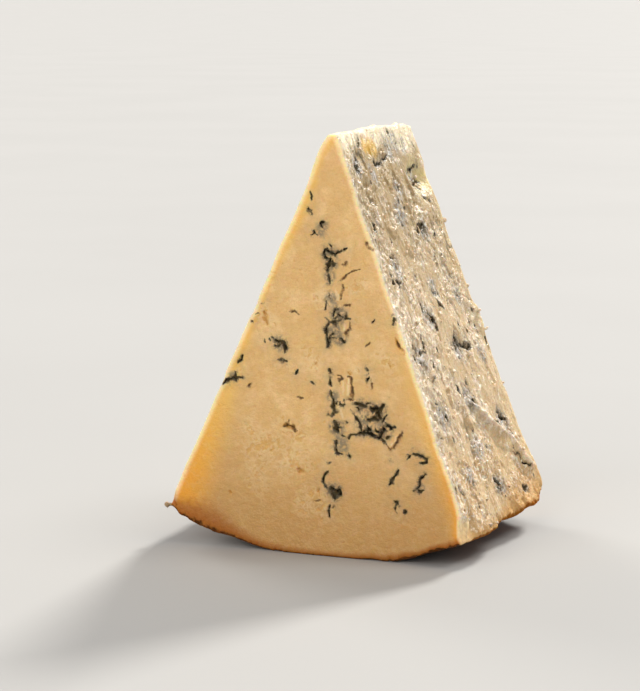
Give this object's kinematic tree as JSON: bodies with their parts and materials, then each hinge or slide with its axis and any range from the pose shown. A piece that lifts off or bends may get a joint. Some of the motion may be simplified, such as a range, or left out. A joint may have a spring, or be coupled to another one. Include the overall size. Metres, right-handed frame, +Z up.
{
  "type": "blue cheese wedge",
  "caption": "Wedge of blue-veined cheese standing on its curved rind, tip up, with a smooth cut face and a crumbly torn face.",
  "frame": {"origin": "on the flat where the rind rests, straight below the wheel's axis and midway through the slab", "axes": "+Z up from the rind to the tip, -Y out of the smooth cut face, +X towards the torn face"},
  "size_m": [0.0766, 0.0557, 0.0985],
  "materials": {
    "cheese": "moist crumbly cheese paste with blue mould and a brown rind"
  },
  "bodies": {
    "root": {"wedge": "cheese"}
  },
  "joints": []
}
